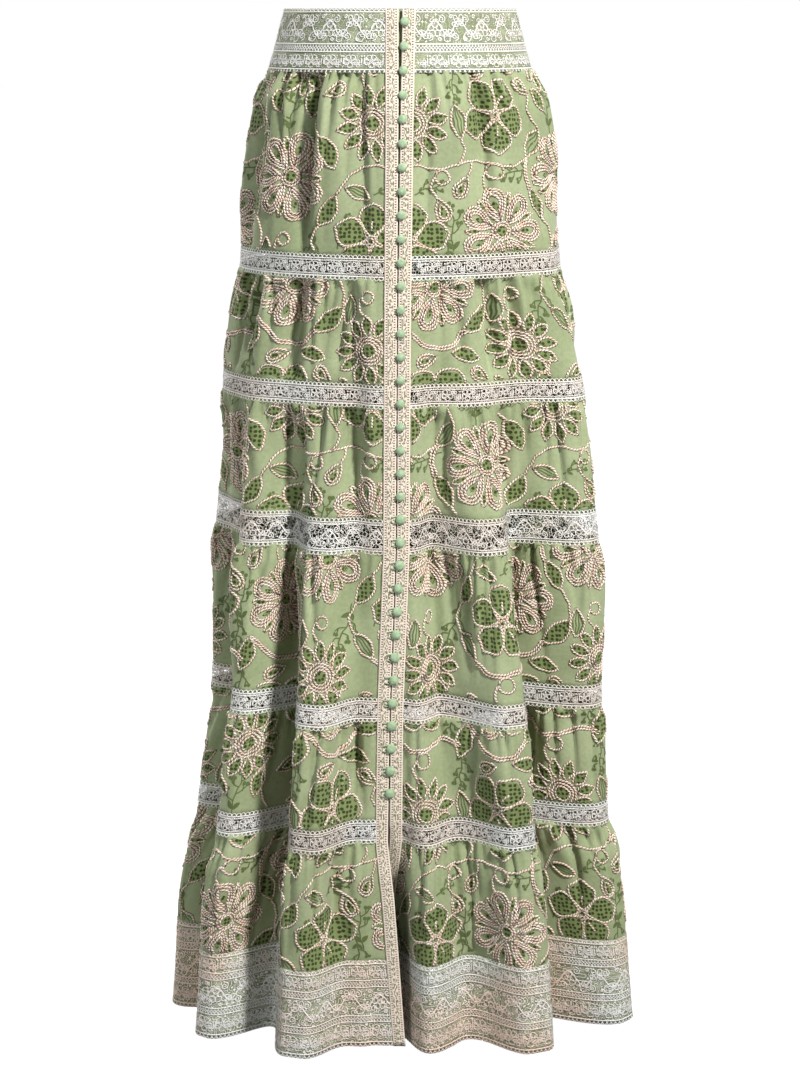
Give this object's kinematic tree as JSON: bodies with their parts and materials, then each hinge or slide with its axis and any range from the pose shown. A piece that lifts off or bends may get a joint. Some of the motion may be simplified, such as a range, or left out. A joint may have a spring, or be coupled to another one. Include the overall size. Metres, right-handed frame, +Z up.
{
  "type": "maxi skirt",
  "caption": "Full-length tiered skirt with lace insertion bands, corded floral embroidery and a buttoned front, filled out as worn with no wearer.",
  "frame": {"origin": "middle of the waist opening, level with the seam at the upper edge of the waistband", "axes": "+Z up along the body; the buttoned front faces -Y; +X is the right of the skirt as it is looked at from the front"},
  "size_m": [0.5123, 0.4684, 1.062],
  "materials": {
    "cotton": "matte woven cotton with raised cord embroidery",
    "lace": "matte cotton lace",
    "button": "fabric-covered"
  },
  "bodies": {
    "root": {"waistband": "lace", "tier_1": "cotton", "lace_1": "lace", "tier_2": "cotton", "lace_2": "lace", "tier_3": "cotton", "lace_3": "lace", "tier_4": "cotton", "lace_4": "lace", "tier_5": "cotton", "lace_5": "lace", "tier_6": "cotton", "hem_border": "lace", "placket_left": "lace", "placket_right": "lace", "underlap": "cotton", "button_01": "button", "button_02": "button", "button_03": "button", "button_04": "button", "button_05": "button", "button_06": "button", "button_07": "button", "button_08": "button", "button_09": "button", "button_10": "button", "button_11": "button", "button_12": "button", "button_13": "button", "button_14": "button", "button_15": "button", "button_16": "button", "button_17": "button", "button_18": "button", "button_19": "button", "button_20": "button", "button_21": "button", "button_22": "button", "button_23": "button", "button_24": "button", "button_25": "button", "button_26": "button", "button_27": "button", "button_28": "button", "button_29": "button", "button_30": "button", "button_31": "button", "button_32": "button", "button_33": "button", "button_34": "button"}
  },
  "joints": []
}
